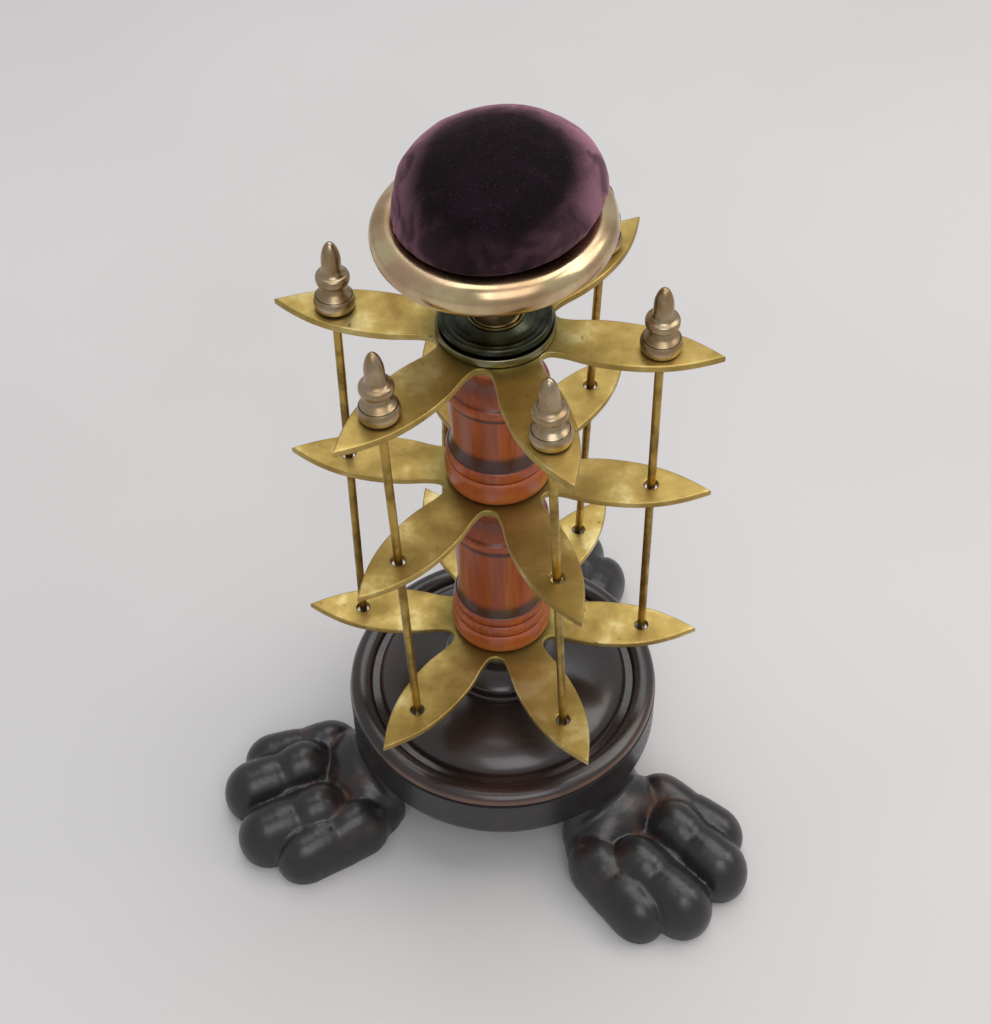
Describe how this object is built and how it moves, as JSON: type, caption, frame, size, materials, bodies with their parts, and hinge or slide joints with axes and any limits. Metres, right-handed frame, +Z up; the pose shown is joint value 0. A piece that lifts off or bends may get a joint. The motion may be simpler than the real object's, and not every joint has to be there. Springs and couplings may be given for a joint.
{
  "type": "pin cushion",
  "caption": "Velvet pin cushion in a brass dish on a turned wooden column with star-shaped brass tiers, lift-out wires for cotton reels and a cast-iron lion-paw tripod.",
  "frame": {"origin": "on the table under the middle of the paws' bounding box", "axes": "+Z up along the column, -Y toward the pictured front, +X to its right"},
  "size_m": [0.1552, 0.155, 0.2318],
  "materials": {
    "plum_velvet": "matte",
    "wool_stuffing": "matte",
    "pasteboard": "matte",
    "polished_brass": "polished",
    "dark_brass": "satin",
    "satin_brass": "satin",
    "dull_brass": "satin",
    "mahogany": "gloss",
    "ebonised_wood": "gloss",
    "black_iron": "satin",
    "iron_rod": "satin"
  },
  "bodies": {
    "stand": {"velvet_cover": "plum_velvet", "cushion_filling": "wool_stuffing", "cushion_board": "pasteboard", "cushion_dish": "polished_brass", "collar": "dark_brass", "star_plate_top": "satin_brass", "star_plate_middle": "satin_brass", "star_plate_bottom": "satin_brass", "column_upper": "mahogany", "column_lower": "mahogany", "plinth": "ebonised_wood", "tripod_base": "black_iron", "tie_rod": "iron_rod", "dish_nut": "iron_rod", "base_washer": "iron_rod", "base_nut": "iron_rod"},
    "reel_pin_1": {"spindle_1": "satin_brass", "finial_1": "dull_brass"},
    "reel_pin_2": {"spindle_2": "satin_brass", "finial_2": "dull_brass"},
    "reel_pin_3": {"spindle_3": "satin_brass", "finial_3": "dull_brass"},
    "reel_pin_4": {"spindle_4": "satin_brass", "finial_4": "dull_brass"},
    "reel_pin_5": {"spindle_5": "satin_brass", "finial_5": "dull_brass"},
    "reel_pin_6": {"spindle_6": "satin_brass", "finial_6": "dull_brass"}
  },
  "joints": [
    {"name": "reel_pin_1_lift", "type": "slide", "parent": "stand", "child": "reel_pin_1", "axis": [-0.0065, -0.0395, 0.9992], "range_m": [0, 0.118]},
    {"name": "reel_pin_2_lift", "type": "slide", "parent": "stand", "child": "reel_pin_2", "axis": [0.031, -0.0254, 0.9992], "range_m": [0, 0.118]},
    {"name": "reel_pin_3_lift", "type": "slide", "parent": "stand", "child": "reel_pin_3", "axis": [0.0375, 0.0141, 0.9992], "range_m": [0, 0.118]},
    {"name": "reel_pin_4_lift", "type": "slide", "parent": "stand", "child": "reel_pin_4", "axis": [0.0065, 0.0395, 0.9992], "range_m": [0, 0.118]},
    {"name": "reel_pin_5_lift", "type": "slide", "parent": "stand", "child": "reel_pin_5", "axis": [-0.031, 0.0254, 0.9992], "range_m": [0, 0.118]},
    {"name": "reel_pin_6_lift", "type": "slide", "parent": "stand", "child": "reel_pin_6", "axis": [-0.0375, -0.0141, 0.9992], "range_m": [0, 0.118]}
  ]
}
